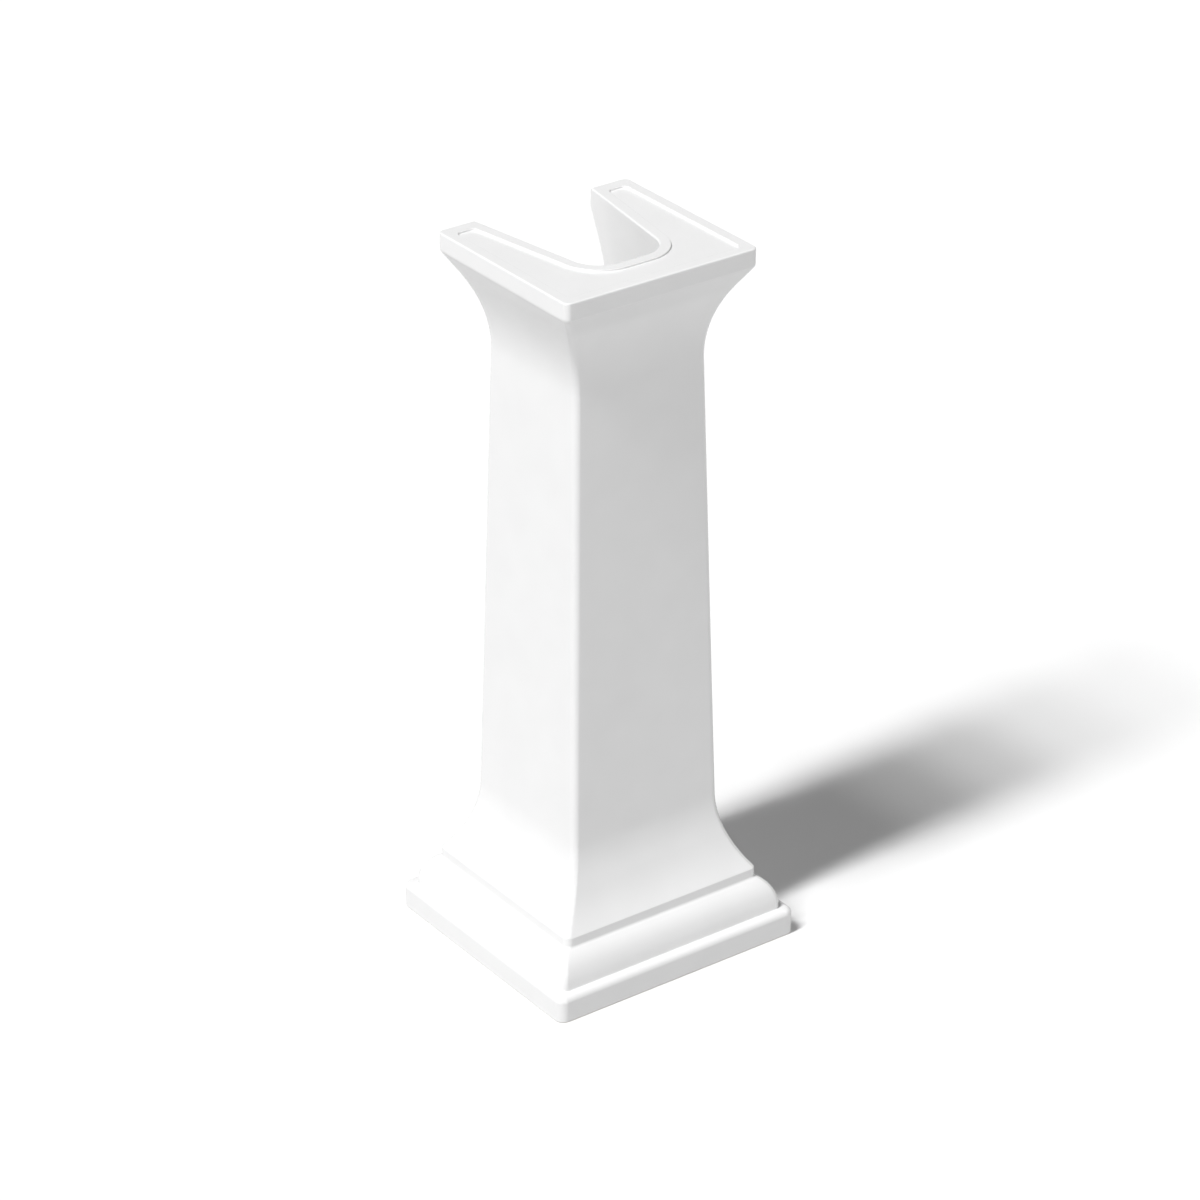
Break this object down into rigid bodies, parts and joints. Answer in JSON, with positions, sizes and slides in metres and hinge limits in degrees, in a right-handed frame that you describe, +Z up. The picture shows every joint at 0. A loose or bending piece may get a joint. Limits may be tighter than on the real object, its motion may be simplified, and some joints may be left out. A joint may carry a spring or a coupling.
{
  "type": "pedestal sink pedestal",
  "caption": "White glazed ceramic pedestal for a wash basin: moulded rectangular leg with a slotted cap, stepped foot and open back, held to the floor by capped studs.",
  "frame": {"origin": "on the floor, under the middle of the foot", "axes": "+Z up, -Y towards the front, +Y towards the open back and the wall, +X to the right seen from the front"},
  "size_m": [0.2722, 0.2602, 0.7],
  "materials": {
    "glazed_ceramic": "gloss glaze",
    "zinc_steel": "bright zinc plate",
    "natural_nylon": "natural nylon",
    "white_plastic": "moulded gloss"
  },
  "bodies": {
    "pedestal": {"pedestal_casting": "glazed_ceramic", "left_floor_stud": "zinc_steel", "left_stud_sleeve": "natural_nylon", "left_cap_seat": "white_plastic", "left_plain_washer": "zinc_steel", "left_hex_nut": "zinc_steel", "right_floor_stud": "zinc_steel", "right_stud_sleeve": "natural_nylon", "right_cap_seat": "white_plastic", "right_plain_washer": "zinc_steel", "right_hex_nut": "zinc_steel"},
    "left_cap": {"left_snap_cap": "white_plastic"},
    "right_cap": {"right_snap_cap": "white_plastic"}
  },
  "joints": [
    {"name": "left_cap_pull", "type": "slide", "parent": "pedestal", "child": "left_cap", "axis": [0, 0, 1], "range_m": [0, 0.03]},
    {"name": "right_cap_pull", "type": "slide", "parent": "pedestal", "child": "right_cap", "axis": [0, 0, 1], "range_m": [0, 0.03]}
  ]
}
